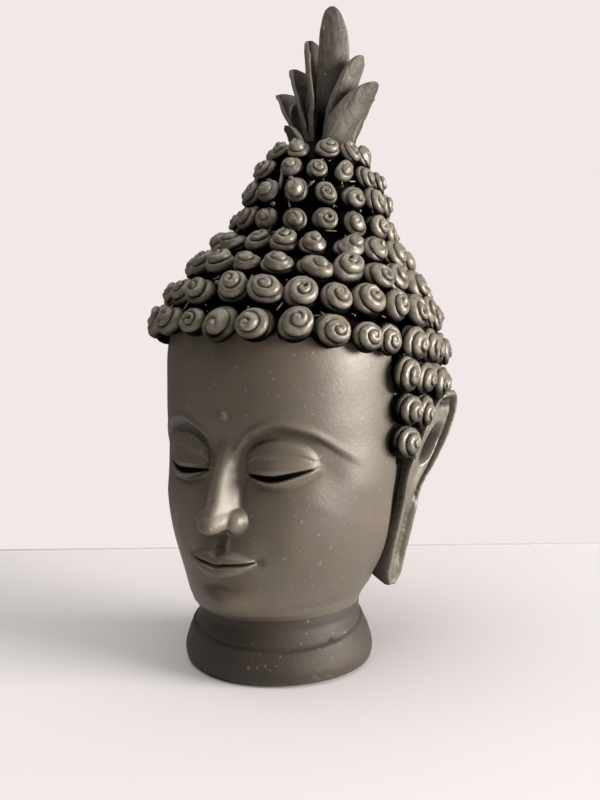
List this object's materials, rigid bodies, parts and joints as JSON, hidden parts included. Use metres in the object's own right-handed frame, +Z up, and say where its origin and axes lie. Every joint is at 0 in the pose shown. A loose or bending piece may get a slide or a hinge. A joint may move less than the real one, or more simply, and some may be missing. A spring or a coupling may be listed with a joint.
{
  "type": "cast resin head sculpture",
  "caption": "Tabletop head in dark cast resin: calm face, long ears, a tall cone of snail-shell curls and a flame of leaves, standing on a flared neck.",
  "frame": {"origin": "centre of the flat underside of the neck", "axes": "+Z up through the flame, the face looks along -Y, +X is the head's own left"},
  "size_m": [0.1218, 0.151, 0.274],
  "materials": {
    "resin": "satin, dark charcoal"
  },
  "bodies": {
    "root": {"buddha_head": "resin"}
  },
  "joints": []
}
